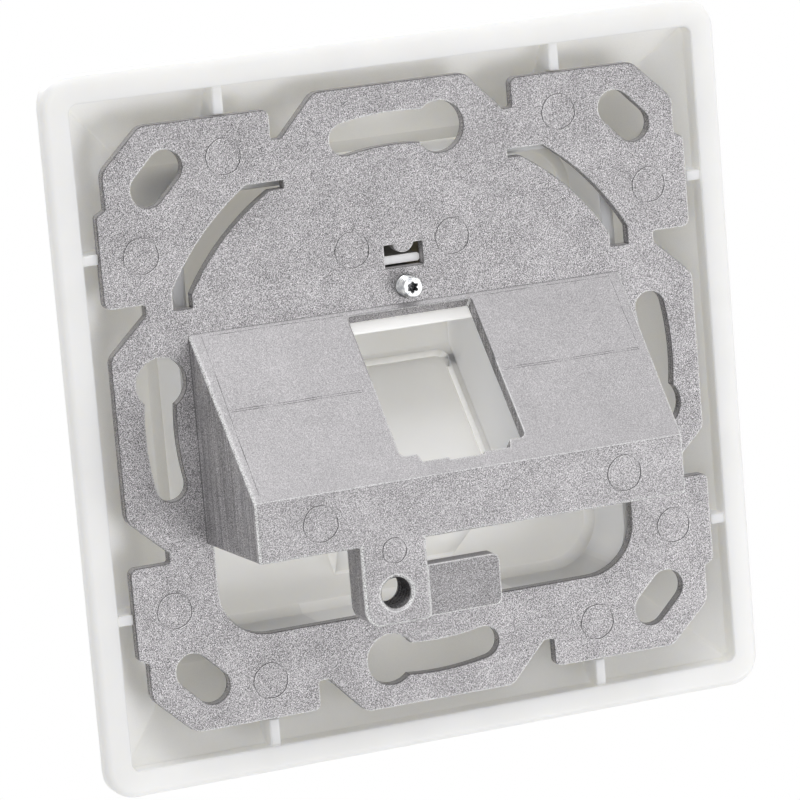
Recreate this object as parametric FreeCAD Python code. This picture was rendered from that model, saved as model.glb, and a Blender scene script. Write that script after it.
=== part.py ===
import FreeCAD, Part
import math
import os
from FreeCAD import Vector

# Wall plate for one snap-in jack, as it hangs on the wall.  X runs to the right seen from
# the room, -Y points into the room, +Y into the wall and +Z up.  The origin is the centre
# of the plate in the wall plane, so everything in front of the wall has y < 0.

# ---- shared ----
clearance = 0.1                # between parts that meet when the plate is put together
overcut = 1.0                  # how far a cutter runs past the face it opens
bury = 0.5                     # how far a joined feature starts inside its neighbour
near = 0.01                    # tolerance when edges are picked out for rounding

# ---- outer frame, moulded; its outer square is 80 mm ----
frame_past_carrier = 1.9       # room between the carrier's edge and the inside of the rim
frame_corner = 3.4
frame_edge = 1.8               # straight part of the outer edge, from the wall plane
frame_bevel = 0.7              # bevel between that edge and the sloping face
frame_front = 10.6             # how far the frame's inner lip stands off the wall
frame_lip_half = 28.4          # where the sloping face ends and the flat lip starts
frame_lip_shift = 0.3          # on the inside, the lip starts this much nearer the middle
rim_width = 3.0                # flat rim that lies on the wall
rim_corner = 1.0
rim_depth = 2.2                # straight wall inside the rim
frame_skin = 1.7               # skin behind the sloping face, measured along y
frame_edge_round = 0.8
frame_rib_width = 1.1
frame_rib_place = 20.0         # ribs stand this far either side of each middle
frame_rib_below_wall = 0.2
frame_rib_end = 1.8            # ribs stop this far outside the cover's opening
rib_gap = 0.15                 # between a rib's step and the carrier's edge

# ---- carrier, one zinc die casting ----
plate = 1.2
carrier_reach = 35.1           # left and right edges of the corner blocks
arm_inset = 0.1                # the other edges lie this far inside that reach
level_inset = 1.3
corner_inset = 1.1
notch_inset = 4.6
arm_half_width = 9.0
arm_round = 1.6
notch_foot = 13.2
notch_foot_round = 0.4
notch_end = 14.4
notch_end_round = 0.3
block_round = 0.8
side_step_inset = 10.5
side_step_run = 0.6
side_step_round = 0.5
side_foot_round = 0.3
corner_cut_inset = 5.8
corner_cut_round = 1.8
fixing_radius = 30.0           # box screws sit on a 60 mm circle
keyhole_round = 2.9
keyhole_slot_half = 1.8
keyhole_round_turn = 10.6      # degrees either side of the keyhole's middle
keyhole_slot_turn = 11.2
corner_slot_inset = 7.2
corner_slot_half = 2.0
corner_slot_length = 7.0
crescent_inner = 29.15
crescent_outer = 31.4
crescent_low = (13.4, 13.35)   # nearest corner of the crescent's square, x and z
crescent_inner_inset = (10.0, 10.1)
crescent_outer_inset = (7.75, 9.2)

# ---- wedge housing on the carrier's back ----
slope_foot = 10.4              # z where the slope leaves the wall plane
ridge_z = -6.15
land_height = 15.0
land_bottom = -12.8
wedge_foot_bottom = -13.1
wedge_past_window = 0.7        # how far its sides stand outside the window in the plate
wedge_draft = 0.6              # how much narrower each side is at the land
wedge_wall = 1.55
wedge_round = 0.4
window_bottom = -24.1          # opening in the plate below the wedge

# ---- jack opening in the slope, x and distance up the slope from the ridge ----
jack_half = 7.45
jack_low = 2.95
jack_high = 21.7
jack_corner = 0.7
jack_top_corner = 0.3
jack_notch_half = 5.5
jack_notch_run = 0.3
jack_notch_low = 1.95
jack_pip_half = 2.05
jack_pip_low = 1.65

# ---- lug with the earth screw hole, cantilevered from the land ----
lug_left = 6.0
lug_right = 13.7
lug_bottom = -21.9
lug_thickness = 4.3
lug_corner = 2.0
lug_left_corner = 0.8
arm_left = -2.4
arm_top = -15.9
arm_thickness = 2.0
arm_drop = 0.3                 # the arm sits this far inside the lug's edges
arm_corner = 0.8
lug_round = 0.5
lug_hole = (9.95, -18.35)
lug_hole_radius = 1.75
lug_hole_bevel = 0.3

# ---- slot and screw hole above the wedge ----
slot_half = 2.3
slot_low = 14.5
slot_high = 17.1
tongue_radius = 1.3
tongue_rise = 0.3
screw_z = 12.35
screw_radius = 1.25
screw_fit = 0.02
screw_collar_radius = 2.1
screw_collar_depth = 1.4

# ---- centre cover, moulded ----
cover_half = 27.5
cover_corner = 2.6
cover_front = 12.8             # how far the cover's face stands off the wall
cover_face = 1.8
cover_edge_round = 0.8
skirt_half = 26.6
skirt_wall = 1.5
skirt_corner = 7.2
skirt_back = 2.0               # the skirt stops this far in front of the wall plane
skirt_frame_gap = 0.2
floor_bevel = 1.0

# ---- plug port in the cover, depths measured square to the slope ----
port_wall = 1.2
port_drop = 0.2                # the port's walls reach this much lower than that clearance asks
port_plate_gap = 0.4           # in front of the plate, where the port's walls turn back
cheek_half = 9.0               # inner faces of the port's two cheeks
roof_z = 7.6
cover_clear_wedge = 0.6        # between the port's walls and the wedge's inside
port_depth = 13.0              # back of the port's sloping frame
port_frame = 1.6
port_half = 8.3
port_low = 7.3
port_high = 23.75
port_low_corner = 0.4
port_corner = 1.3
chute_foot_half = 6.1          # half width of the chute at the cover's face
stop_half = 6.0
stop_depth = 0.8
stop_height = 1.1

# ---- dust flap ----
flap_gap = 0.3
flap_thickness = 1.3
flap_back_gap = 0.2            # the flap's back lies this far in front of the frame's back
flap_top_gap = 0.55
flap_corner = 1.3
flap_low_corner = 0.4
flap_round = 0.5               # round the back of the leaf, but for its lower edge
hinge_below_top = 0.8
trunnion_radius = 0.6
trunnion_fit = 0.05
trunnion_short = 0.3           # trunnions stop this far inside the cheeks' outer faces
grip_half = 4.0
grip_rise = 0.6
grip_low = 1.0
grip_height = 0.8

# ---- cover screw, M2.5 x 12 ----
screw_length = 12.0
screw_tip_out = 2.0            # tip stands behind the wall plane
head_radius = 2.3
head_height = 1.7
head_bevel = 0.5
drive_width = 0.7
drive_length = 2.8
drive_depth = 1.0
tip_bevel = 0.3
tip_dimple_radius = 0.7
tip_dimple_depth = 0.5
screw_hole_radius = 1.45
head_hole_radius = 2.6
boss_radius = 3.7
boss_height = 1.6
pillar_radius = 2.5
tab_half = 2.2
tab_low = 14.8
tab_high = 15.7
tab_corner = 0.3
tab_below_wall = 0.9

# ---- worked out ----
slope_angle = math.degrees(math.atan2(land_height, slope_foot - ridge_z))
slope_sin = math.sin(math.radians(slope_angle))
slope_cos = math.cos(math.radians(slope_angle))
arm_reach = carrier_reach - arm_inset
block_reach_level = carrier_reach - level_inset
corner_reach_side = carrier_reach - corner_inset
notch_floor = carrier_reach - notch_inset
side_step = carrier_reach - side_step_inset
corner_cut = carrier_reach - corner_cut_inset
corner_slot_place = carrier_reach - corner_slot_inset
frame_rim_half = carrier_reach + frame_past_carrier
frame_half = frame_rim_half + rim_width
window_in_frame = skirt_half + skirt_frame_gap
lip_inner_half = frame_lip_half - frame_lip_shift
rib_back = -plate - clearance
skirt_inner = skirt_half - skirt_wall
skirt_inner_corner = skirt_corner - skirt_wall
window_half = skirt_inner + clearance
wedge_half_foot = window_half + wedge_past_window
wedge_half_top = wedge_half_foot - wedge_draft
cover_floor = cover_front - cover_face
head_seat = screw_tip_out - screw_length
collar_front = -plate - screw_collar_depth
cheek_outer = cheek_half + port_wall
hinge_up = port_high - flap_top_gap - hinge_below_top
hinge_depth = port_depth + flap_back_gap + flap_thickness / 2
chute_depth = port_depth + port_frame
jack_placement = FreeCAD.Placement(
    Vector(0, land_height, ridge_z), FreeCAD.Rotation(Vector(1, 0, 0), slope_angle))


def outline(points, y):
    # closed outline at one y; a point is (x, z) or (x, z, corner radius)
    count = len(points)
    corners = [Vector(point[0], y, point[1]) for point in points]
    starts, ends, arcs = [], [], []
    for i, point in enumerate(points):
        here = corners[i]
        radius = point[2] if len(point) > 2 else 0
        if not radius:
            starts.append(here)
            ends.append(here)
            arcs.append(None)
            continue
        back = (corners[i - 1] - here).normalize()
        on = (corners[(i + 1) % count] - here).normalize()
        half = back.getAngle(on) / 2
        centre = here + (back + on).normalize() * (radius / math.sin(half))
        middle = centre + (here - centre).normalize() * radius
        starts.append(here + back * (radius / math.tan(half)))
        ends.append(here + on * (radius / math.tan(half)))
        arcs.append(Part.Arc(starts[-1], middle, ends[-1]).toShape())
    edges = []
    for i in range(count):
        if arcs[i]:
            edges.append(arcs[i])
        following = starts[(i + 1) % count]
        if ends[i].distanceToPoint(following) > 1e-6:
            edges.append(Part.LineSegment(ends[i], following).toShape())
    return Part.Wire(Part.__sortEdges__(edges))


def slab(points, y0, y1):
    # an outline in x and z, extruded from y0 to y1
    return Part.Face(outline(points, y0)).extrude(Vector(0, y1 - y0, 0))


def oblong(half, low, high, low_corner, high_corner):
    return [(-half, low, low_corner), (half, low, low_corner),
            (half, high, high_corner), (-half, high, high_corner)]


def square(half, corner):
    return oblong(half, -half, half, corner, corner)


def block(x0, x1, y0, y1, z0, z1):
    return Part.makeBox(x1 - x0, y1 - y0, z1 - z0, Vector(x0, y0, z0))


def rod(radius, x, z, y0, y1):
    return Part.makeCylinder(radius, y1 - y0, Vector(x, y0, z), Vector(0, 1, 0))


def cross_rod(radius, half, y, z):
    return Part.makeCylinder(radius, 2 * half, Vector(-half, y, z), Vector(1, 0, 0))


def polygon_face(corners):
    return Part.Face(Part.makePolygon(corners + corners[:1]))


def plan(points, z, height):
    # an outline in x and y, extruded upwards from z
    return polygon_face([Vector(x, y, z) for x, y in points]).extrude(Vector(0, 0, height))


def prism(points, half):
    # an outline in y and z, extruded from x = -half to x = half
    return polygon_face([Vector(-half, y, z) for y, z in points]).extrude(Vector(2 * half, 0, 0))


def on_slope(shape):
    # from (x, height off the slope, distance up it) to the slope's place
    shape = shape.copy()
    shape.Placement = jack_placement
    return shape


def slope_point(up, depth):
    # (y, z) of a point given by its distance up the slope and its depth below it
    return (land_height - up * slope_sin - depth * slope_cos,
            ridge_z + up * slope_cos - depth * slope_sin)


def slope_point_at_y(y, depth):
    return slope_point((land_height - depth * slope_cos - y) / slope_sin, depth)


def slope_point_at_z(z, depth):
    return slope_point((z - ridge_z + depth * slope_sin) / slope_cos, depth)


def turned(shape, degrees):
    # a copy turned about the y axis
    shape = shape.copy()
    shape.rotate(Vector(0, 0, 0), Vector(0, 1, 0), degrees)
    return shape


def mirrored(shape):
    return shape.mirror(Vector(0, 0, 0), Vector(1, 0, 0))


# ---- carrier ----

def carrier_side(block_reach, corner_reach):
    # one side of the plate's outline, as (along, out, corner radius)
    half = [(arm_half_width, arm_reach, arm_round), (notch_foot, notch_floor, notch_foot_round),
            (notch_end, notch_floor, notch_end_round), (notch_end, block_reach, block_round)]
    if block_reach > corner_reach:
        half += [(side_step, block_reach, side_step_round),
                 (side_step + side_step_run, corner_reach, side_foot_round)]
    half += [(corner_cut, corner_reach, corner_cut_round)]
    return [(-along, out, radius) for along, out, radius in reversed(half)] + half


def carrier_outline():
    level = carrier_side(block_reach_level, block_reach_level)
    upright = carrier_side(carrier_reach, corner_reach_side)
    right = [(out, -along, radius) for along, out, radius in upright]
    bottom = [(-along, -out, radius) for along, out, radius in level]
    left = [(-out, along, radius) for along, out, radius in upright]
    return level + right + bottom + left


def polar(radius, degrees, y):
    # degrees from +Z towards +X
    turn = math.radians(degrees)
    return Vector(radius * math.sin(turn), y, radius * math.cos(turn))


def keyhole():
    # round end to pass a screw head, and an arc slot that lets the plate be turned true
    y0 = -plate - overcut
    inner = fixing_radius - keyhole_slot_half
    outer = fixing_radius + keyhole_slot_half
    start, end = -keyhole_round_turn, keyhole_slot_turn
    tip = polar(fixing_radius, end, y0) + polar(keyhole_slot_half, end + 90, 0)
    edges = [
        Part.Arc(polar(outer, start, y0), polar(outer, 0, y0), polar(outer, end, y0)).toShape(),
        Part.Arc(polar(outer, end, y0), tip, polar(inner, end, y0)).toShape(),
        Part.Arc(polar(inner, end, y0), polar(inner, 0, y0), polar(inner, start, y0)).toShape(),
        Part.LineSegment(polar(inner, start, y0), polar(outer, start, y0)).toShape()]
    slot = Part.Face(Part.Wire(edges)).extrude(Vector(0, overcut - y0, 0))
    centre = polar(fixing_radius, start, 0)
    return slot.fuse(rod(keyhole_round, centre.x, centre.z, y0, overcut))


def corner_slot():
    half = corner_slot_length / 2
    place = corner_slot_place * math.sqrt(2)
    low = place - corner_slot_half
    high = place + corner_slot_half
    points = oblong(half, low, high, corner_slot_half, corner_slot_half)
    return turned(slab(points, -plate - overcut, overcut), 45)


def crescent():
    # curved slot in the upper corner on the +X side
    y0 = -plate - overcut
    y1 = overcut
    x0, z0 = crescent_low
    x1, z1 = [carrier_reach - inset for inset in crescent_outer_inset]
    xi, zi = [carrier_reach - inset for inset in crescent_inner_inset]
    ring = block(x0, x1, y0, y1, z0, z1).common(rod(crescent_outer, 0, 0, y0, y1))
    return ring.cut(block(0, xi, y0, y1, 0, zi).common(rod(crescent_inner, 0, 0, y0, y1)))


def plate_slot():
    # a half-round tongue of the plate hangs into the slot from its upper edge
    slot = block(-slot_half, slot_half, -plate - overcut, overcut, slot_low, slot_high)
    return slot.cut(rod(tongue_radius, 0, slot_high + tongue_rise, -plate - overcut, overcut))


def line_at(y, start, end):
    # the second value of a line through two (y, value) points
    return start[1] + (y - start[0]) * (end[1] - start[1]) / (end[0] - start[0])


def wedge_outside():
    # the faces run on through the plate, to its front
    front = -plate
    top, bottom = (land_height, ridge_z), (land_height, land_bottom)
    profile = [(front, line_at(front, (0, slope_foot), top)), top, bottom,
               (front, line_at(front, (0, wedge_foot_bottom), bottom))]
    wedge = prism(profile, wedge_half_foot + overcut)
    half_front = line_at(front, (0, wedge_half_foot), (land_height, wedge_half_top))
    draft = [(-half_front, front), (half_front, front),
             (wedge_half_top, land_height), (-wedge_half_top, land_height)]
    below = wedge_foot_bottom - overcut
    wedge = wedge.common(plan(draft, below, profile[0][1] + overcut - below))
    behind_plate = [edge for edge in wedge.Edges if edge.BoundBox.YMax > near]
    return wedge.makeFillet(wedge_round, behind_plate)


def wedge_inside():
    front = -plate - overcut
    back = land_height - wedge_wall
    bottom = land_bottom + wedge_wall
    profile = [slope_point_at_y(front, wedge_wall), slope_point_at_y(back, wedge_wall),
               (back, bottom), (front, bottom)]
    hollow = prism(profile, wedge_half_foot)
    half_foot = wedge_half_foot - wedge_wall
    half_back = wedge_half_top - wedge_wall
    draft = [(-half_foot, front), (half_foot, front), (half_back, back), (-half_back, back)]
    return hollow.common(plan(draft, bottom, slope_foot - bottom))


def jack_opening():
    # stepped along its lower edge for the jack's fixed catch
    half = [(jack_pip_half, jack_pip_low), (jack_pip_half, jack_notch_low),
            (jack_notch_half - jack_notch_run, jack_notch_low), (jack_notch_half, jack_low),
            (jack_half, jack_low, jack_corner), (jack_half, jack_high, jack_top_corner)]
    other = [(-point[0], *point[1:]) for point in reversed(half)]
    return on_slope(slab(half + other, -wedge_wall - overcut, overcut))


def lug():
    root = land_bottom + wedge_wall / 2
    back = land_height
    stem = slab([(lug_left, root), (lug_right, root), (lug_right, lug_bottom, lug_corner),
                 (lug_left, lug_bottom, lug_left_corner)], back - lug_thickness, back)
    rim = [edge for edge in stem.Edges
           if edge.BoundBox.YMin > back - near and edge.BoundBox.ZMin < root - near]
    stem = stem.makeFillet(lug_round, rim)
    arm_back = back - arm_drop
    arm_low = lug_bottom + arm_drop
    arm_root = lug_left + bury
    arm = slab([(arm_root, arm_top), (arm_left, arm_top, arm_corner),
                (arm_left, arm_low, arm_corner), (arm_root, arm_low)],
               arm_back - arm_thickness, arm_back)
    return stem.fuse(arm)


def lug_hole_mouth():
    # a bevel that leads the earth screw in
    x, z = lug_hole
    return Part.makeCone(lug_hole_radius, lug_hole_radius + lug_hole_bevel, lug_hole_bevel,
                         Vector(x, land_height - lug_hole_bevel, z), Vector(0, 1, 0))


def make_carrier():
    through = -plate - overcut
    window = [(-window_half, window_bottom, skirt_inner_corner),
              (window_half, window_bottom, skirt_inner_corner),
              (window_half, wedge_foot_bottom), (-window_half, wedge_foot_bottom)]
    collar = rod(screw_collar_radius, 0, screw_z, collar_front, -plate / 2)
    body = slab(carrier_outline(), -plate, 0).cut(slab(window, through, overcut))
    body = body.fuse([wedge_outside(), lug(), collar])
    cuts = [wedge_inside(), jack_opening(), plate_slot(), crescent(), mirrored(crescent())]
    cuts += [turned(keyhole(), 90 * turn) for turn in range(4)]
    cuts += [turned(corner_slot(), 90 * turn) for turn in range(4)]
    cuts.append(rod(screw_radius + screw_fit, 0, screw_z, collar_front - overcut, overcut))
    cuts.append(rod(lug_hole_radius, *lug_hole, land_height - lug_thickness - overcut,
                    land_height + overcut))
    cuts.append(lug_hole_mouth())
    return body.cut(cuts).removeSplitter()


# ---- outer frame ----

def crossed(profile, half):
    # a square form that has one and the same profile across x and across z
    ridge = prism(profile, half)
    return ridge.common(turned(ridge, 90))


def sloping(steps):
    # a profile from (half width, y) steps, mirrored about the middle
    return [(y, -half) for half, y in steps] + [(y, half) for half, y in reversed(steps)]


def frame_outside():
    slope_y = -frame_edge - frame_bevel
    steps = [(frame_half, 0), (frame_half, -frame_edge), (frame_half - frame_bevel, slope_y),
             (frame_lip_half, -frame_front)]
    body = crossed(sloping(steps), frame_half)
    body = body.common(slab(square(frame_half, frame_corner), -frame_front, 0))
    back = [edge for edge in body.Edges if edge.BoundBox.YMin > -near]
    return body.makeFillet(frame_edge_round, back)


def frame_inside():
    # a straight well inside the rim, then planes that lean in and meet in mitred creases
    steps = [(frame_rim_half, overcut), (frame_rim_half, -rim_depth),
             (lip_inner_half, frame_skin - frame_front)]
    well = slab(square(frame_rim_half, rim_corner), frame_skin - frame_front, overcut)
    return crossed(sloping(steps), frame_rim_half).common(well)


def frame_ribs():
    # stiffening ribs that run in from the rim, stepped to take the carrier's edge
    ribs = []
    for turn in range(4):
        reach = block_reach_level if turn % 2 == 0 else carrier_reach
        root = frame_rim_half + bury
        step = reach + rib_gap
        end = window_in_frame + frame_rib_end
        profile = [(root, -frame_rib_below_wall), (step, -frame_rib_below_wall),
                   (step, rib_back), (end, rib_back),
                   (end, frame_skin / 2 - frame_front), (root, -rim_depth - frame_skin / 2)]
        for along in (-frame_rib_place, frame_rib_place):
            low = along - frame_rib_width / 2
            face = polygon_face([Vector(low, y, out) for out, y in profile])
            ribs.append(turned(face.extrude(Vector(frame_rib_width, 0, 0)), 90 * turn))
    return ribs


def make_outer_frame():
    window = slab(square(window_in_frame, skirt_corner + skirt_frame_gap),
                  -frame_front - overcut, overcut)
    body = frame_outside().cut(frame_inside()).fuse(frame_ribs())
    return body.cut(window).removeSplitter()


# ---- centre cover ----

def cover_shell():
    flange = slab(square(cover_half, cover_corner), -cover_front, -frame_front - clearance)
    front = [edge for edge in flange.Edges if edge.BoundBox.YMax < near - cover_front]
    flange = flange.makeFillet(cover_edge_round, front)
    skirt = slab(square(skirt_half, skirt_corner), -frame_front - bury, -skirt_back)
    inside = slab(square(skirt_inner, skirt_inner_corner), -cover_floor, overcut)
    floor = [edge for edge in inside.Edges if edge.BoundBox.YMax < near - cover_floor]
    return flange.fuse(skirt).cut(inside.makeChamfer(floor_bevel, floor))


def chute_line(y, depth):
    # z of the chute's floor, or of a line that lies depth below it
    start_y, start_z = slope_point(port_low, chute_depth)
    return start_z - (start_y - y) * slope_sin / slope_cos - depth / slope_cos


def port_outside():
    # cheeks, roof and chute as one lump that reaches back into the wedge
    clear = wedge_wall + cover_clear_wedge
    roof = roof_z + port_wall
    bottom = land_bottom + clear - port_drop
    front = -cover_floor - bury
    turn = -plate - port_plate_gap
    back = land_height - clear
    foot = chute_line(-cover_floor, port_wall)
    foot_half = chute_foot_half + port_wall
    profile = [(front, roof), slope_point_at_z(roof, clear), slope_point_at_y(back, clear),
               (back, bottom), (turn, bottom), (turn, chute_line(turn, port_wall)),
               (front, chute_line(front, port_wall))]
    taper = [(-cheek_outer, roof), (cheek_outer, roof), (cheek_outer, bottom),
             (foot_half, foot), (-foot_half, foot), (-cheek_outer, bottom)]
    reach = slab(taper, front - overcut, back + overcut)
    return prism(profile, cheek_outer).common(reach)


def port_inside():
    # the room behind the sloping frame, where the jack's nose sits
    profile = [(-cover_floor, roof_z), (land_height, roof_z), (land_height, land_bottom),
               slope_point_at_z(land_bottom, port_depth),
               slope_point_at_y(-cover_floor, port_depth)]
    return prism(profile, cheek_half)


def chute_inside():
    # the plug's way in, from the room up to the sloping frame
    front = -cover_front - overcut
    low_y, low_z = slope_point(port_low, chute_depth)
    top_y, top_z = slope_point(port_high, chute_depth)
    front_top = top_z - (top_y - front) * slope_sin / slope_cos
    foot = chute_line(-cover_front, 0)
    profile = [(low_y, low_z), (top_y, top_z), (front, front_top), (front, chute_line(front, 0))]
    taper = [(-cheek_half, top_z + overcut), (cheek_half, top_z + overcut), (cheek_half, low_z),
             (chute_foot_half, foot), (-chute_foot_half, foot), (-cheek_half, low_z)]
    return prism(profile, cheek_half).common(slab(taper, front - overcut, low_y + overcut))


def port_opening():
    points = oblong(port_half, port_low, port_high, port_low_corner, port_corner)
    return on_slope(slab(points, -chute_depth - overcut, bury - port_depth))


def flap_stop():
    # ledge that the closed flap's lower edge lies against
    points = oblong(stop_half, port_low - bury, port_low + stop_height, 0, 0)
    return on_slope(slab(points, -port_depth, stop_depth - port_depth))


def make_centre_cover():
    root = -cover_floor - bury
    in_front = -cover_front - overcut
    boss = rod(boss_radius, 0, screw_z, root, boss_height - cover_floor)
    pillar = rod(pillar_radius, 0, screw_z, root, collar_front - clearance)
    tab = slab(oblong(tab_half, tab_low, tab_high, tab_corner, tab_corner), root, -tab_below_wall)
    body = cover_shell().fuse(port_outside())
    body = body.cut([port_inside(), chute_inside()])
    body = body.cut(port_opening()).fuse([flap_stop(), boss, pillar, tab])
    hinge = cross_rod(trunnion_radius + trunnion_fit, cheek_outer + overcut,
                      *slope_point(hinge_up, hinge_depth))
    body = body.cut([rod(head_hole_radius, 0, screw_z, in_front, head_seat),
                     rod(screw_hole_radius, 0, screw_z, in_front, overcut), hinge])
    return body.removeSplitter()


# ---- dust flap ----

def make_dust_flap():
    low = port_low + flap_gap
    high = port_high - flap_top_gap
    front = -hinge_depth - flap_thickness / 2
    back = -hinge_depth + flap_thickness / 2
    leaf = slab(oblong(port_half - flap_gap, low, high, flap_low_corner, flap_corner), front, back)
    behind = [edge for edge in leaf.Edges
              if edge.BoundBox.YMin > back - near and edge.BoundBox.ZMax > low + flap_corner]
    leaf = leaf.makeFillet(flap_round, behind)
    grip_foot = low + grip_low
    grip = block(-grip_half, grip_half, front - grip_rise, -hinge_depth,
                 grip_foot, grip_foot + grip_height)
    trunnions = cross_rod(trunnion_radius, cheek_outer - trunnion_short, -hinge_depth, hinge_up)
    return on_slope(leaf.fuse([grip, trunnions]).removeSplitter())


# ---- cover screw ----

def make_cover_screw():
    head_top = head_seat - head_height
    tip = screw_tip_out
    # half section: distance from the axis and y
    section = [(0, head_top), (head_radius, head_top), (head_radius, head_seat),
               (screw_radius, head_seat), (screw_radius, tip - tip_bevel),
               (screw_radius - tip_bevel, tip), (tip_dimple_radius, tip),
               (0, tip - tip_dimple_depth)]
    face = polygon_face([Vector(radius, y, screw_z) for radius, y in section])
    screw = face.revolve(Vector(0, 0, screw_z), Vector(0, 1, 0), 360)
    rim = [edge for edge in screw.Edges
           if edge.BoundBox.YMax < head_top + near and edge.BoundBox.XLength > head_radius]
    screw = screw.makeChamfer(head_bevel, rim)
    cross = []
    for width, height in [(drive_length, drive_width), (drive_width, drive_length)]:
        cross.append(block(-width / 2, width / 2, head_top - overcut, head_top + drive_depth,
                           screw_z - height / 2, screw_z + height / 2))
    return screw.cut(cross)


nodes = {
    "carrier": make_carrier,
    "outer_frame": make_outer_frame,
    "centre_cover": make_centre_cover,
    "dust_flap": make_dust_flap,
    "cover_screw": make_cover_screw,
}

os.makedirs("parts", exist_ok=True)
for name, make in nodes.items():
    shape = make()
    print(name, "solids", len(shape.Solids), "volume", round(shape.Volume, 1),
          "valid", shape.isValid(), "faces", len(shape.Faces))
    shape.Solids[0].exportStep("parts/" + name + ".step")
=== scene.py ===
import bpy
import math
from mathutils import Matrix, Vector


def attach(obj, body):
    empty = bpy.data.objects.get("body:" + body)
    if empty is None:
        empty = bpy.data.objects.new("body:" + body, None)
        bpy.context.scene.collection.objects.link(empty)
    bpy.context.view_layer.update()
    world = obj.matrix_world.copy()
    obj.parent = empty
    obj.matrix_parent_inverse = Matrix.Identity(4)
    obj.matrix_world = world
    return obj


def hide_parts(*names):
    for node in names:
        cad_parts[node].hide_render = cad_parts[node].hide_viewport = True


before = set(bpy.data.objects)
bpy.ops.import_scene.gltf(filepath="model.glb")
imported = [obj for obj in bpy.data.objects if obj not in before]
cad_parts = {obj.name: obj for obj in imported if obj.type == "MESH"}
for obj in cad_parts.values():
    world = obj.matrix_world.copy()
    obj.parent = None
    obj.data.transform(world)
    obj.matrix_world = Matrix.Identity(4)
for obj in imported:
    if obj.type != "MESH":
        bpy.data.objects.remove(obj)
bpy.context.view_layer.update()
mm = 0.001
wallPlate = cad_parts["carrier"]
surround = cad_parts["outer_frame"]
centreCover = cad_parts["centre_cover"]
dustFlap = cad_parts["dust_flap"]
print("frame loaded:", len(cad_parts), "nodes")


# small helpers for material nodes
def startMaterial(name):
    mat = bpy.data.materials.new(name)
    mat.use_nodes = True
    nodes = mat.node_tree.nodes
    nodes.clear()
    out = nodes.new("ShaderNodeOutputMaterial")
    shader = nodes.new("ShaderNodeBsdfPrincipled")
    mat.node_tree.links.new(shader.outputs["BSDF"], out.inputs["Surface"])
    return mat, shader


def join(mat, fromSocket, toSocket):
    mat.node_tree.links.new(fromSocket, toSocket)


def grey(value):
    return (value, value, value)


def objectPlace(mat):
    return mat.node_tree.nodes.new("ShaderNodeTexCoord").outputs["Object"]


def noise(mat, place, size, detail=2.0, rough=0.5):
    # size is the width of one speck or cloud, in millimetres
    node = mat.node_tree.nodes.new("ShaderNodeTexNoise")
    node.inputs["Scale"].default_value = 1.0 / (size * mm)
    node.inputs["Detail"].default_value = detail
    node.inputs["Roughness"].default_value = rough
    join(mat, place, node.inputs["Vector"])
    return node.outputs["Fac"]


def ramp(mat, fac, *stops):
    # each stop is (place, colour) or (place, grey level)
    stops = [(at, grey(tone) if isinstance(tone, (int, float)) else tone) for at, tone in stops]
    node = mat.node_tree.nodes.new("ShaderNodeValToRGB")
    join(mat, fac, node.inputs["Fac"])
    bar = node.color_ramp
    bar.elements[0].position, bar.elements[0].color = stops[0][0], (*stops[0][1], 1)
    bar.elements[1].position, bar.elements[1].color = stops[-1][0], (*stops[-1][1], 1)
    for at, colour in stops[1:-1]:
        bar.elements.new(at).color = (*colour, 1)
    return node.outputs["Color"]


def rise(mat, fac, limits, top=1.0):
    # 0 below the first limit, top above the second
    return ramp(mat, fac, (limits[0], 0.0), (limits[1], top))


def sums(mat, operation, *values):
    node = mat.node_tree.nodes.new("ShaderNodeMath")
    node.operation = operation
    for value, socket in zip(values, node.inputs):
        if isinstance(value, (int, float)):
            socket.default_value = value
        else:
            join(mat, value, socket)
    return node.outputs["Value"]


def times(mat, first, second):
    return sums(mat, "MULTIPLY", first, second)


def mixColour(mat, kind, fac, first, second):
    node = mat.node_tree.nodes.new("ShaderNodeMix")
    node.data_type = "RGBA"
    node.blend_type = kind
    for value, name in ((fac, "Factor_Float"), (first, "A_Color"), (second, "B_Color")):
        socket = next(s for s in node.inputs if s.identifier == name)
        if isinstance(value, (int, float)):
            socket.default_value = value
        elif isinstance(value, tuple):
            socket.default_value = (*value, 1)
        else:
            join(mat, value, socket)
    return next(s for s in node.outputs if s.identifier == "Result_Color")


def bump(mat, height, strength, distance, under):
    node = mat.node_tree.nodes.new("ShaderNodeBump")
    node.inputs["Strength"].default_value = strength
    node.inputs["Distance"].default_value = distance * mm
    join(mat, height, node.inputs["Height"])
    join(mat, under, node.inputs["Normal"])
    return node.outputs["Normal"]


def roughen(mat, shader, fac, look):
    less, more = look["roughSpread"]
    rough = ramp(mat, fac, (0.3, look["roughness"] + less), (0.7, look["roughness"] + more))
    join(mat, rough, shader.inputs["Roughness"])


def roundedNormal(mat, radius):
    node = mat.node_tree.nodes.new("ShaderNodeBevel")
    node.samples = 6
    node.inputs["Radius"].default_value = radius * mm
    return node.outputs["Normal"]


def edgeMask(mat, rounded, gain):
    # 0 on flat ground, up to 1 where the rounded normal leaves the true one
    dot = mat.node_tree.nodes.new("ShaderNodeVectorMath")
    dot.operation = "DOT_PRODUCT"
    join(mat, rounded, dot.inputs[0])
    join(mat, mat.node_tree.nodes.new("ShaderNodeNewGeometry").outputs["Normal"], dot.inputs[1])
    mask = times(mat, sums(mat, "SUBTRACT", 1.0, dot.outputs["Value"]), gain)
    mask.node.use_clamp = True
    return mask


def trueNormal(mat):
    return mat.node_tree.nodes.new("ShaderNodeNewGeometry").outputs["True Normal"]


def parts(mat, vector):
    node = mat.node_tree.nodes.new("ShaderNodeSeparateXYZ")
    join(mat, vector, node.inputs[0])
    return node.outputs[0], node.outputs[1], node.outputs[2]


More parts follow.
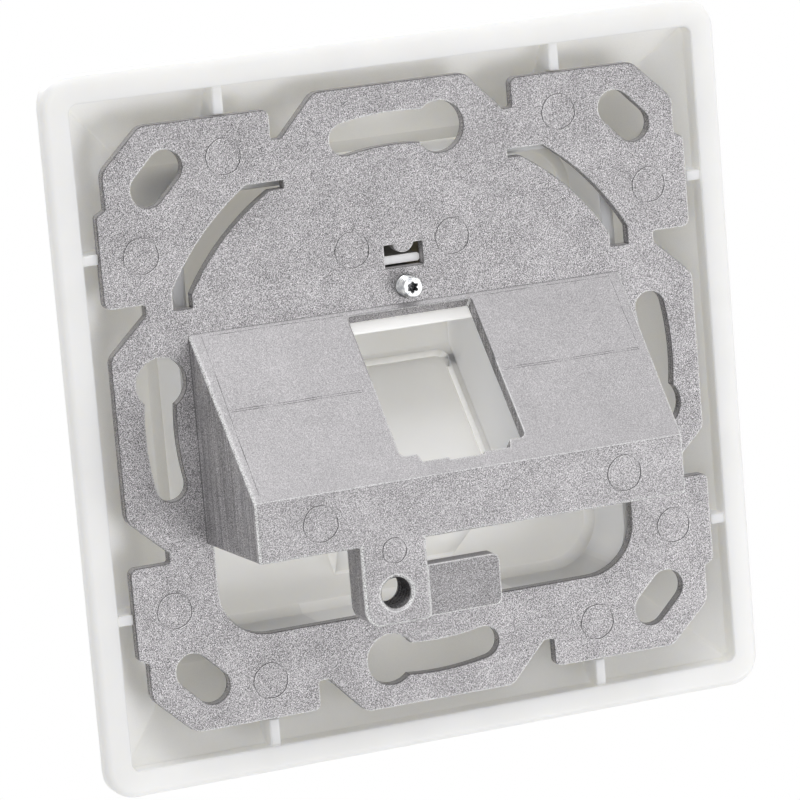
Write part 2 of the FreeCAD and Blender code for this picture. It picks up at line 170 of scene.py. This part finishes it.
def openness(mat, reach):
    # 1 in the open, down to 0 in a deep corner
    node = mat.node_tree.nodes.new("ShaderNodeAmbientOcclusion")
    node.samples = 4
    node.inputs["Distance"].default_value = reach * mm
    return rise(mat, node.outputs["AO"], (0.25, 0.85))


def turned(mat, place):
    # slanted to every face, so that the grain has no rows
    node = mat.node_tree.nodes.new("ShaderNodeMapping")
    node.inputs["Rotation"].default_value = (0.4, 0.7, 1.1)
    join(mat, place, node.inputs["Vector"])
    return node.outputs["Vector"]


def stretched(mat, place, scale):
    node = mat.node_tree.nodes.new("ShaderNodeMapping")
    node.inputs["Scale"].default_value = scale
    join(mat, place, node.inputs["Vector"])
    return node.outputs["Vector"]


def within(mat, place, box):
    # 1 inside a box given as low and high limits in millimetres
    inside = None
    for part, (low, high) in zip(parts(mat, place), box):
        away = sums(mat, "ABSOLUTE", sums(mat, "SUBTRACT", part, (high + low) / 2 * mm))
        near = sums(mat, "LESS_THAN", away, (high - low) / 2 * mm)
        inside = near if inside is None else times(mat, inside, near)
    return inside


def dress(part, mat):
    part.data.materials.clear()
    part.data.materials.append(mat)


def meshPiece(name, verts, faces, mat):
    mesh = bpy.data.meshes.new(name)
    mesh.from_pydata(verts, [], faces)
    mesh.update()
    piece = bpy.data.objects.new(name, mesh)
    bpy.context.scene.collection.objects.link(piece)
    dress(piece, mat)
    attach(piece, "plate")
    return piece


# bare zinc casting, blasted and tumbled
zincLook = {
    "dark": 0.03,
    "mid": 0.315,
    "light": 0.79,
    "tint": (1.0, 0.972, 1.0),
    "grain": 0.095,            # width of a speck, mm
    "cloud": 5.0,              # width of a paler or darker patch, mm
    "cloudShare": 0.12,
    "speckStops": (0.3, 0.5, 0.7),         # where the speckle is dark, middle and light
    # faces that look up, as the slope does, get calmer grain and a paler tone, the paler tone
    # being painted light from above
    "slopeTone": 0.5,
    "slopeFrom": (0.3, 0.6),   # how far a face looks up where that paler tone comes in
    "slopeCalm": 0.5,          # share of the speckle that gives way to it
    "calm": 0.12,              # and to the middle one on the land, the lug and the arm
    "calmFrom": 11.0,          # height off the plate where that begins, mm
    "dragWidth": 0.35,         # upright streaks on the wedge's sides, mm
    "dragStretch": 0.03,
    "dragFrom": (0.85, 0.95),  # how far a face looks to the side
    "drag": 0.55,
    "dragStops": ((0.35, 0.5), (0.5, 1.0), (0.68, 1.5)),
    "metallic": 0.4,
    "roughness": 0.5,
    "roughSpread": (-0.16, 0.14),
    "roughGrain": 1.7,         # times the width of a speck
    "relief": 0.05,            # depth of the blasted grain, mm
    "reliefShare": 0.32,
    "edgeRound": 0.26,         # mm
    "edgeGain": 16.0,
    "edgeDark": 0.05,          # painted shade on edges that look up or away from the key lamp
    # painted highlight on edges
    "edgeLight": 0.97,
    "edgeStops": (0.35, 0.5, 0.62),
    "edgeBreaks": ((0.32, 0.3), (0.5, 1.0)),       # the speckle breaks the painted highlight lines up
    "edgeShare": 0.9,
    "highEdge": (0.2, 0.3),    # height where every edge gets a painted highlight, on the scale of standing
    "highLight": 0.7,
    # where the rounded edges get their painted highlight
    "roundOut": ((0.12, 0.0), (0.3, 1.0), (0.8, 1.0), (0.97, 0.0)),
    "roundUp": ((0.5, 1.0), (0.66, 0.0)),
    "roundBreaks": ((0.38, 0.1), (0.55, 1.0)),
    "downSlope": (0.672, -0.741),          # the way down the slope: out, up
    "slopeMatch": 0.992,       # faces that look that way stay plain
    "arm": ((-9.0, 9.0), (14.6, 14.8), (-26.0, -12.0)),    # the arm's face, which gets painted shade, mm
    "armShade": 0.27,
    "slanted": False,          # painted shade where it leans up, painted highlight where it leans down
    "slantShadeStops": ((0.2, 0.35), (0.45, 1.0), (0.55, 1.0), (0.8, 1.7)),
}


def standing(mat, look, place):
    # height off the plate, 0.5 at calmFrom
    return times(mat, parts(mat, place)[1], 1.0 / (2 * look["calmFrom"] * mm))


def leaning(mat, side, up):
    # 0 for what looks up and towards +x, 1 for what looks down and towards -x
    return sums(mat, "MULTIPLY_ADD", sums(mat, "ADD", side, up), -0.5, 0.5)


def zincTone(mat, look, place, speck):
    # speckle with paler and darker patches, calmer on the land and the slope
    cloud = noise(mat, place, look["cloud"], 3.0, 0.6)
    patch = times(mat, sums(mat, "SUBTRACT", cloud, 0.5), look["cloudShare"])
    tones = (look["dark"], look["mid"], look["light"])
    colour = ramp(mat, sums(mat, "ADD", speck, patch), *zip(look["speckStops"], tones))
    side, _, up = parts(mat, trueNormal(mat))
    onLand = rise(mat, standing(mat, look, place), (0.49, 0.51), look["calm"])
    colour = mixColour(mat, "MIX", onLand, colour, grey(look["mid"]))
    # painted light from above: faces that look up turn paler, with calmer grain
    onSlope = rise(mat, up, look["slopeFrom"], look["slopeCalm"])
    colour = mixColour(mat, "MIX", onSlope, colour, grey(look["slopeTone"]))
    # painted shade on the arm's face
    onArm = within(mat, place, look["arm"])
    colour = mixColour(mat, "MULTIPLY", onArm, colour, grey(1.0 - look["armShade"]))
    streak = noise(mat, stretched(mat, place, (1.0, 1.0, look["dragStretch"])),
                   look["dragWidth"], 1.0, 0.5)
    onSide = rise(mat, sums(mat, "ABSOLUTE", side), look["dragFrom"], look["drag"])
    colour = mixColour(mat, "MULTIPLY", onSide, colour, ramp(mat, streak, *look["dragStops"]))
    colour = mixColour(mat, "MULTIPLY", 1.0, colour, look["tint"])
    # painted shade and painted highlight by which way a face leans
    if look["slanted"]:
        slantShade = ramp(mat, leaning(mat, side, up), *look["slantShadeStops"])
        colour = mixColour(mat, "MULTIPLY", 1.0, colour, slantShade)
    return colour


def sharpEdges(mat, look, place, speck, rounded, colour):
    # sharp edges: painted shade where they look up, painted highlight where they look down or
    # stand high
    mask = edgeMask(mat, rounded, look["edgeGain"])
    mask = times(mat, mask, ramp(mat, speck, *look["edgeBreaks"]))
    side, _, up = parts(mat, rounded)
    high = rise(mat, standing(mat, look, place), look["highEdge"], look["highLight"])
    slant = sums(mat, "MAXIMUM", leaning(mat, side, up), high)
    tones = (look["edgeDark"], look["mid"], look["edgeLight"])
    edge = ramp(mat, slant, *zip(look["edgeStops"], tones))
    return mixColour(mat, "MIX", times(mat, mask, look["edgeShare"]), colour, edge)


def roundEdges(mat, look, speck, colour):
    # the casting's own rounded edges get a painted highlight, but not faces that look down the
    # slope
    _, out, up = parts(mat, trueNormal(mat))
    mask = times(mat, ramp(mat, out, *look["roundOut"]), ramp(mat, up, *look["roundUp"]))
    outShare, upShare = look["downSlope"]
    likeness = sums(mat, "ADD", times(mat, out, outShare), times(mat, up, upShare))
    mask = times(mat, mask, sums(mat, "LESS_THAN", likeness, look["slopeMatch"]))
    mask = times(mat, mask, ramp(mat, speck, *look["roundBreaks"]))
    return mixColour(mat, "MIX", times(mat, mask, look["edgeShare"]), colour,
                     grey(look["edgeLight"]))


def makeZinc(name, look):
    mat, shader = startMaterial(name)
    place = objectPlace(mat)
    speck = noise(mat, turned(mat, place), look["grain"], 1.0, 0.6)
    rounded = roundedNormal(mat, look["edgeRound"])
    colour = zincTone(mat, look, place, speck)
    colour = sharpEdges(mat, look, place, speck, rounded, colour)
    colour = roundEdges(mat, look, speck, colour)
    join(mat, colour, shader.inputs["Base Color"])
    uneven = noise(mat, place, look["grain"] * look["roughGrain"], 1.0, 0.5)
    roughen(mat, shader, uneven, look)
    shader.inputs["Metallic"].default_value = look["metallic"]
    relief = bump(mat, speck, look["reliefShare"], look["relief"], rounded)
    join(mat, relief, shader.inputs["Normal"])
    return mat


dress(wallPlate, makeZinc("castZinc", zincLook))
# the pin rims get painted shade where they lean up and a painted highlight where they lean down
rimZinc = makeZinc("rimZinc", {**zincLook, "edgeShare": 0.0, "slanted": True})
seamZinc = makeZinc("seamZinc", {**zincLook, "dark": 0.08, "mid": 0.15, "light": 0.28,
                                 "slopeTone": 0.07, "edgeShare": 0.0})
# the cut thread is shinier, and its dark tones are painted shade in the lug's hole
shadedThreadZinc = makeZinc("shadedThreadZinc", {**zincLook, "dark": 0.04, "mid": 0.1, "light": 0.26,
                                     "metallic": 0.8, "roughness": 0.36, "edgeShare": 0.0})


# rims left by the ejector pins, a little proud of the casting
pinLook = {
    "plate": [(20.0, 29.3), (30.4, 19.7), (30.4, -19.8), (20.0, -29.5), (6.0, 17.1)],
    "land": (18.0, -9.4),      # x and z on one half, mm
    "lug": (9.8, -13.65),
    "landHeight": 15.0,
    "radius": 2.0,
    "lugRadius": 1.4,
    "rimWidth": 0.12,
    "rimHeight": 0.08,
    "sink": 0.02,
    "wobble": (0.012, 0.008),
    "around": 72,
}


def makePinRim(name, x, y, z, radius):
    width, sink, around = pinLook["rimWidth"], pinLook["sink"], pinLook["around"]
    coarse, fine = pinLook["wobble"]
    section = [(-width, -sink), (0.0, pinLook["rimHeight"]), (width, -sink)]
    step = len(section)
    verts, faces = [], []
    for i in range(around):
        angle = 2 * math.pi * i / around
        wobble = 1 + coarse * math.sin(5 * angle + x) + fine * math.sin(11 * angle + z)
        for off, up in section:
            r = radius * wobble + off
            verts.append(((x + r * math.sin(angle)) * mm, (y + up) * mm,
                          (z + r * math.cos(angle)) * mm))
        for a in range(i * step, i * step + step - 1):
            b = (a + step) % (around * step)
            faces.append((a, a + 1, b + 1, b))
    return meshPiece(name, verts, faces, rimZinc)


for side, word in ((-1, "left"), (1, "right")):
    for i, (x, z) in enumerate(pinLook["plate"]):
        makePinRim(f"pinRim.{word}.{i}", side * x, 0.0, z, pinLook["radius"])
    x, z = pinLook["land"]
    makePinRim(f"landRim.{word}.0", side * x, pinLook["landHeight"], z, pinLook["radius"])
x, z = pinLook["lug"]
makePinRim("lugRim", x, pinLook["landHeight"], z, pinLook["lugRadius"])
print("pin rims finished")


def crest(turn, slope, gap):
    # height of a thread, 0 to 1, at this share of one turn
    return min(1.0, max(0.0, slope * (0.5 - abs(turn % 1.0 - 0.5)) - gap))


# thread cut in the lug's hole
lugThread = {
    "place": (9.95, -18.35),   # x and z, mm
    "front": 10.72,
    "back": 14.72,
    "fade": 0.35,              # length over which the thread runs out at each end
    "wall": 1.76,
    "core": 1.58,
    "pitch": 0.7,
    "crest": (2.4, 0.15),      # steepness of its flanks, width of its root
    "around": 48,
    "steps": 56,
}


def makeLugThread():
    look = lugThread
    around, steps = look["around"], look["steps"]
    front, back = look["front"], look["back"]
    centreX, centreZ = look["place"]
    depth = look["wall"] - look["core"]
    verts, faces = [], []
    for i in range(steps + 1):
        y = front + (back - front) * i / steps
        fade = max(0.0, min(1.0, (back - y) / look["fade"], (y - front) / look["fade"]))
        for j in range(around):
            angle = 2 * math.pi * j / around
            turn = y / look["pitch"] - j / around
            r = look["wall"] - depth * fade * crest(turn, *look["crest"])
            verts.append(((centreX + r * math.sin(angle)) * mm, y * mm,
                          (centreZ + r * math.cos(angle)) * mm))
    for i in range(steps):
        for j in range(around):
            k = (j + 1) % around
            faces.append((i * around + j, i * around + k, (i + 1) * around + k,
                          (i + 1) * around + j))
    return meshPiece("lugThread", verts, faces, shadedThreadZinc)


makeLugThread()
print("lug thread finished")


# fine seams on the slope, where the inserts of the mould met
slopeLook = {
    "ridge": (15.0, -6.15),    # y and z of the ridge where slope and land meet, mm
    "angle": 42.19,            # degrees
    "half": 24.5,              # the rest are places across and up the slope, mm
    "top": 21.9,
    "foot": 1.0,
    "shortFoot": 13.0,
    "opening": 7.9,            # the seams stop short of the jack opening
    "openingRight": 8.8,
    "middle": (11.8, 12.05),   # the pair of seams half way up
    "rightOff": (-0.2, 0.02),  # how the right ones differ: shorter, higher
    "width": 0.15,
    "thinning": (0.6, 0.4),    # the width's middle share, and how far it goes up and down
    "sway": 0.03,
    "rise": 0.014,
    "sink": 0.01,
    "step": 0.8,
}


def slopePlace(x, up, off):
    angle = math.radians(slopeLook["angle"])
    y = slopeLook["ridge"][0] - up * math.sin(angle) + off * math.cos(angle)
    z = slopeLook["ridge"][1] + up * math.cos(angle) + off * math.sin(angle)
    return (x * mm, y * mm, z * mm)


def makeSeam(name, start, end):
    # a hair-thin flattened ridge from start to end, both as (x, distance up the slope)
    along = Vector(end) - Vector(start)
    across = Vector((-along.y, along.x)).normalized()
    count = max(2, int(along.length / slopeLook["step"]))
    half, sink = slopeLook["width"] / 2, -slopeLook["sink"]
    usual, change = slopeLook["thinning"]
    verts, faces = [], []
    for i in range(count + 1):
        share = i / count
        middle = Vector(start) + along * share
        narrow = usual + change * math.sin(7.3 * share + start[0]) * math.cos(23.0 * share)
        sway = slopeLook["sway"] * math.sin(9.1 * share + start[1])
        for side, off in ((-1, sink), (0, slopeLook["rise"]), (1, sink)):
            at = middle + across * (side * narrow * half + sway)
            verts.append(slopePlace(at.x, at.y, off))
    for i in range(count):
        a = i * 3
        faces += [(a, a + 1, a + 4, a + 3), (a + 1, a + 2, a + 5, a + 4)]
    return meshPiece(name, verts, faces, seamZinc)


def makeSeams():
    half, top, opening = slopeLook["half"], slopeLook["top"], slopeLook["opening"]
    inward, higher = slopeLook["rightOff"]
    seams = [((-half, top), (-opening, top)),
             ((opening, top), (half, top)),
             ((-half, slopeLook["shortFoot"]), (-half, top)),
             ((half, slopeLook["foot"]), (half, top))]
    for level in slopeLook["middle"]:
        seams += [((-half, level), (-opening, level)),
                  ((slopeLook["openingRight"], level + higher), (half + inward, level + higher))]
    for i, (start, end) in enumerate(seams):
        makeSeam(f"slopeSeam.{i}", start, end)


makeSeams()
print("seams finished")


# white mouldings
coverLook = {
    "colour": (0.93, 0.925, 0.91),
    "patchShade": 0.955,
    "cloud": 9.0,              # width of a faint patch, mm
    "hollowLightColour": (0.995, 0.985, 0.945),   # painted light in hollows, standing in for light that has passed through
    "deepReach": 7.0,          # mm
    "grain": 0.09,             # mm
    "roughness": 0.34,
    "roughSpread": (-0.05, 0.08),
    "relief": 0.02,
    "reliefShare": 0.12,
    "edgeRound": 0.35,
    "specular": 0.45,
    "glow": 0.9,
    "glowDepth": 6.0,          # how far light spreads inside the plastic, mm
    "glowTint": (1.0, 0.95, 0.82),
}
surroundLook = {**coverLook, "colour": grey(0.795), "glow": 0.85, "glowDepth": 3.5}
# painted light, a glow that stands in for light that comes through the thin cover: how much, and
# in which box, mm
seepLook = {
    "colour": (1.0, 0.99, 0.97),
    "lip": (0.42, ((-9.2, 9.2), (-3.0, 0.2), (6.8, 9.2))),    # the port's sloping lip
    "tab": (0.3, ((-2.4, 2.4), (-1.15, 0.0), (14.5, 16.0))),
    "top": (0.15, ((-12.0, 12.0), (-11.0, -1.0), (21.0, 27.2))),    # behind the keyholes
    "low": (0.07, ((-12.0, 12.0), (-11.0, -1.0), (-27.2, -21.0))),
    "lipUp": (0.55, 0.65),     # how far the lip looks up and out
    "lipOut": (0.65, 0.72),
    "wall": 0.16,              # painted light on walls that look to the side
    "wallSide": (0.6, 0.9),
    "gap": (0.1, ((-9.0, 5.5), (-11.4, -1.15), (12.8, 19.5))),      # painted shade: grey level round the tab
}


def makePlastic(name, look):
    mat, shader = startMaterial(name)
    place = objectPlace(mat)
    darker = tuple(part * look["patchShade"] for part in look["colour"])
    cloud = noise(mat, place, look["cloud"], 2.0, 0.5)
    face = ramp(mat, cloud, (0.3, darker), (0.7, look["colour"]))
    # painted light: hollows turn paler and warmer
    face = mixColour(mat, "MIX", openness(mat, look["deepReach"]), look["hollowLightColour"], face)
    join(mat, face, shader.inputs["Base Color"])
    grain = noise(mat, place, look["grain"], 2.0, 0.6)
    roughen(mat, shader, grain, look)
    rounded = roundedNormal(mat, look["edgeRound"])
    join(mat, bump(mat, grain, look["reliefShare"], look["relief"], rounded),
         shader.inputs["Normal"])
    shader.inputs["Specular IOR Level"].default_value = look["specular"]
    shader.inputs["Subsurface Weight"].default_value = look["glow"]
    shader.inputs["Subsurface Radius"].default_value = look["glowTint"]
    shader.inputs["Subsurface Scale"].default_value = look["glowDepth"] * mm
    return mat, shader, place, face


def paintSeepLightAndGapShade(mat, shader, place, face):
    # painted shade round the tab
    tone, box = seepLook["gap"]
    face = mixColour(mat, "MIX", within(mat, place, box), face, grey(tone))
    join(mat, face, shader.inputs["Base Color"])
    # painted light: the cover glows on its lip, its side walls and in the boxes
    side, out, up = parts(mat, trueNormal(mat))
    sloping = times(mat, rise(mat, up, seepLook["lipUp"]), rise(mat, out, seepLook["lipOut"]))
    amount, box = seepLook["lip"]
    lip = times(mat, times(mat, sloping, within(mat, place, box)), amount)
    glow = sums(mat, "ADD", lip, rise(mat, side, seepLook["wallSide"], seepLook["wall"]))
    for area in ("tab", "top", "low"):
        amount, box = seepLook[area]
        glow = sums(mat, "ADD", glow, times(mat, within(mat, place, box), amount))
    shader.inputs["Emission Color"].default_value = (*seepLook["colour"], 1)
    join(mat, glow, shader.inputs["Emission Strength"])


dress(surround, makePlastic("surroundPlastic", surroundLook)[0])
coverPlastic, *coverNodes = makePlastic("coverPlastic", coverLook)
paintSeepLightAndGapShade(coverPlastic, *coverNodes)
dress(centreCover, coverPlastic)
dress(dustFlap, coverPlastic)
print("mouldings finished")


# plated screw: one skin of rings that run from the head's drive to the tip's socket
screwLook = {
    "axisHeight": 12.35,       # z, mm
    "headTop": -11.7,          # y, mm
    "headSeat": -10.0,
    "tip": 2.0,
    "headProfile": [           # radius and distance down from its top
        (1.57, 0.0), (1.8, 0.05), (2.05, 0.19), (2.2, 0.42),
        (2.3, 0.75), (2.3, 1.64), (2.24, 1.7), (1.25, 1.7)],
    "crossHalf": 1.4,
    "crossArm": 0.36,
    "crossDepth": 0.95,
    "crossTaper": 0.62,
    "crossFloor": 0.12,
    "rim": (0.06, 0.05),       # how far the drive's and socket's edges are broken, out and in
    "threadOuter": 1.25,
    "threadCore": 1.0,
    "pitch": 0.45,
    "pitchSteps": 7,
    "crest": (2.35, 0.1),
    "plainLength": 1.0,        # under the head
    "tipBevel": 0.14,
    "socketRadius": 0.64,
    "socketShape": (0.86, 0.15, 0.06),     # middle, lobes, raggedness
    "socketDepth": 1.3,
    "socketFloor": (0.8, 0.1),
    "conePart": (0.9, 1.1),    # of the depth: where the drive's and socket's cones are
    "skin": ((0.42, 0.43, 0.45), (0.8, 0.8, 0.79)),        # the plating's darker and paler tone
    "film": 0.5,               # width of a patch in the plating, mm
    "roughness": 0.2,
    "roughSpread": (-0.04, 0.14),
    "grain": 0.12,
    "relief": 0.02,
    "reliefShare": 0.15,
    "edgeRound": 0.08,
    "rootShadeColour": (0.3, 0.3, 0.31),
}


def makePlated(name):
    look = screwLook
    mat, shader = startMaterial(name)
    place = objectPlace(mat)
    film = noise(mat, place, look["film"], 2.0, 0.5)
    skin = ramp(mat, film, (0.35, look["skin"][0]), (0.65, look["skin"][1]))
    x, y, z = parts(mat, place)
    up = sums(mat, "SUBTRACT", z, look["axisHeight"] * mm)
    square = sums(mat, "ADD", sums(mat, "POWER", x, 2.0), sums(mat, "POWER", up, 2.0))
    # 250 times the distance from the axis in metres is a quarter of it in millimetres
    fromAxis = times(mat, sums(mat, "POWER", square, 0.5), 250.0)
    # painted shade in the thread's roots and in the tip's socket
    root = ramp(mat, fromAxis, (look["threadCore"] / 4 + 0.012, 1.0),
                (look["threadOuter"] / 4 - 0.012, 0.0))
    deep = sums(mat, "LESS_THAN", y, (look["tip"] - look["tipBevel"] - 0.05) * mm)
    join(mat, mixColour(mat, "MIX", times(mat, deep, root), skin, look["rootShadeColour"]),
         shader.inputs["Base Color"])
    roughen(mat, shader, film, look)
    shader.inputs["Metallic"].default_value = 1.0
    grain = noise(mat, place, look["grain"], 1.0, 0.5)
    rounded = roundedNormal(mat, look["edgeRound"])
    join(mat, bump(mat, grain, look["reliefShare"], look["relief"], rounded),
         shader.inputs["Normal"])
    return mat


def crossRadius(angle):
    # distance from the axis to the edge of a plus-shaped drive
    across, along = sorted((abs(math.sin(angle)), abs(math.cos(angle))))
    arm, half = screwLook["crossArm"], screwLook["crossHalf"]
    return min(half / along, max(arm / max(across, 1e-6), arm / along))


def starRadius(angle):
    # ragged six-lobed socket in the tip
    middle, lobes, ragged = screwLook["socketShape"]
    shape = middle + lobes * math.cos(6 * angle + 0.4) + ragged * math.sin(5 * angle)
    return screwLook["socketRadius"] * shape


def threadRadius(y, angle):
    outer, core, pitch = screwLook["threadOuter"], screwLook["threadCore"], screwLook["pitch"]
    height = crest(y / pitch - angle / (2 * math.pi), *screwLook["crest"])
    start = screwLook["headSeat"] + screwLook["plainLength"]
    height = max(height, min(1.0, max(0.0, (start - y) / pitch + 1)))
    bevel = outer - screwLook["tipBevel"] + (screwLook["tip"] - y)
    return min(core + (outer - core) * height, bevel)


def screwAngles():
    # every 6 degrees, and the corners of the drive
    corner = math.atan2(screwLook["crossArm"], screwLook["crossHalf"])
    turns = {round(math.radians(a), 6) for a in range(0, 360, 6)}
    for quarter in range(4):
        for off in (-corner, corner, math.pi / 4):
            turns.add(round((quarter * math.pi / 2 + off) % (2 * math.pi), 6))
    return sorted(turns)


def screwRings():
    # (height, radius at each angle) from the bottom of the drive to that of the socket
    look = screwLook
    top, seat, tip = look["headTop"], look["headSeat"], look["tip"]
    wide, deep = look["rim"]
    bottom, point = look["socketFloor"]
    driveCone, socketCone = look["conePart"]
    rings = [(top + look["crossDepth"], lambda a: look["crossFloor"] * crossRadius(a)),
             (top + look["crossDepth"] * driveCone,
              lambda a: look["crossTaper"] * crossRadius(a)),
             (top + deep, crossRadius),
             (top, lambda a: crossRadius(a) + wide)]
    for radius, down in look["headProfile"]:
        rings.append((top + down, lambda a, radius=radius: radius))
    stepCount = int((tip - seat) / look["pitch"] * look["pitchSteps"])
    for i in range(1, stepCount + 1):
        y = seat + (tip - seat) * i / stepCount
        rings.append((y, lambda a, y=y: threadRadius(y, a)))
    return rings + [(tip, lambda a: starRadius(a) + wide),
                    (tip - deep, starRadius),
                    (tip - look["socketDepth"], lambda a: bottom * starRadius(a)),
                    (tip - look["socketDepth"] * socketCone, lambda a: point * starRadius(a))]


def makeScrew(mat):
    turns, rings = screwAngles(), screwRings()
    count = len(turns)
    verts = [(radius(a) * math.sin(a) * mm, y * mm,
              (radius(a) * math.cos(a) + screwLook["axisHeight"]) * mm)
             for y, radius in rings for a in turns]
    faces = []
    for i in range(len(rings) - 1):
        for j in range(count):
            k = (j + 1) % count
            faces.append((i * count + j, (i + 1) * count + j, (i + 1) * count + k,
                          i * count + k))
    faces.append(tuple(range(count)))
    faces.append(tuple(reversed(range(len(verts) - count, len(verts)))))
    screw = meshPiece("threadedScrew", verts, faces, mat)
    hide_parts("cover_screw")


makeScrew(makePlated("platedSteel"))
print("screw finished")


# floor, light and camera
stageLook = {
    "floorDrop": 0.6,          # metres below the plate's middle
    "floorRadius": 0.45,
    "floorSides": 64,
    "floorColour": (0.9, 0.9, 0.9),
    "floorPale": (0.93, 0.93, 0.93),
    "floorPatch": 60.0,        # mm
    "floorRoughness": 0.9,
    "fill": 0.7,               # even light from all round
    "backdrop": 1.0,           # what the camera, metal and glass see of it
    "lampSize": 0.5,
    "lamps": {                 # place in metres, power in watts
        "keyLamp": ((-0.55, 0.78, -0.4), 3.3),
        "topLamp": ((0.1, 0.3, 0.95), 3.6),
        "frontLamp": ((0.0, -0.8, 0.5), 2.6),
    },
}


def makeFloor():
    radius, count = stageLook["floorRadius"], stageLook["floorSides"]
    angles = [2 * math.pi * i / count for i in range(count)]
    verts = [(radius * math.cos(a), radius * math.sin(a), -stageLook["floorDrop"])
             for a in angles]
    mesh = bpy.data.meshes.new("floor")
    mesh.from_pydata(verts, [], [list(range(count))])
    floor = bpy.data.objects.new("floor", mesh)
    bpy.context.scene.collection.objects.link(floor)
    mat, shader = startMaterial("floorPaint")
    patch = noise(mat, objectPlace(mat), stageLook["floorPatch"], 2.0, 0.5)
    paint = ramp(mat, patch, (0.3, stageLook["floorColour"]), (0.7, stageLook["floorPale"]))
    join(mat, paint, shader.inputs["Base Color"])
    shader.inputs["Roughness"].default_value = stageLook["floorRoughness"]
    dress(floor, mat)


def makeWorld():
    world = bpy.data.worlds.new("studio")
    bpy.context.scene.world = world
    world.use_nodes = True
    nodes, links = world.node_tree.nodes, world.node_tree.links
    nodes.clear()
    out = nodes.new("ShaderNodeOutputWorld")
    mix = nodes.new("ShaderNodeMixShader")
    for slot, strength in ((1, stageLook["fill"]), (2, stageLook["backdrop"])):
        light = nodes.new("ShaderNodeBackground")
        light.inputs["Color"].default_value = (1, 1, 1, 1)
        light.inputs["Strength"].default_value = strength
        links.new(light.outputs[0], mix.inputs[slot])
    path = nodes.new("ShaderNodeLightPath")
    seen = path.outputs["Is Camera Ray"]
    for kind in ("Is Glossy Ray", "Is Transmission Ray"):
        either = nodes.new("ShaderNodeMath")
        either.operation = "MAXIMUM"
        links.new(seen, either.inputs[0])
        links.new(path.outputs[kind], either.inputs[1])
        seen = either.outputs[0]
    links.new(seen, mix.inputs["Fac"])
    links.new(mix.outputs[0], out.inputs["Surface"])


def makeLamp(name, place, power):
    lamp = bpy.data.lights.new(name, "AREA")
    lamp.shape = "SQUARE"
    lamp.size = stageLook["lampSize"]
    lamp.energy = power
    holder = bpy.data.objects.new(name, lamp)
    bpy.context.scene.collection.objects.link(holder)
    holder.location = place
    holder.rotation_euler = (-Vector(place)).to_track_quat("-Z", "Y").to_euler()


cameraLook = {
    "place": (0.177312, 0.448084, 0.090174),
    "aim": (0.001658, -0.000557, -0.000474),
    "roll": -4.849,            # degrees
    "lens": 198.0,
    "sensor": 36.0,
    "clipStart": 0.01,
}


def makeCamera():
    camera = bpy.data.cameras.new("camera")
    camera.lens = cameraLook["lens"]
    camera.sensor_width = cameraLook["sensor"]
    camera.clip_start = cameraLook["clipStart"]
    holder = bpy.data.objects.new("camera", camera)
    bpy.context.scene.collection.objects.link(holder)
    place = Vector(cameraLook["place"])
    toAim = (Vector(cameraLook["aim"]) - place).to_track_quat("-Z", "Y").to_matrix()
    roll = Matrix.Rotation(math.radians(cameraLook["roll"]), 3, "Z")
    holder.matrix_world = Matrix.Translation(place) @ (toAim @ roll).to_4x4()
    bpy.context.scene.camera = holder


makeFloor()
makeWorld()
for name, (place, power) in stageLook["lamps"].items():
    makeLamp(name, place, power)
makeCamera()
bpy.context.scene.view_settings.view_transform = "Standard"
print("stage ready")
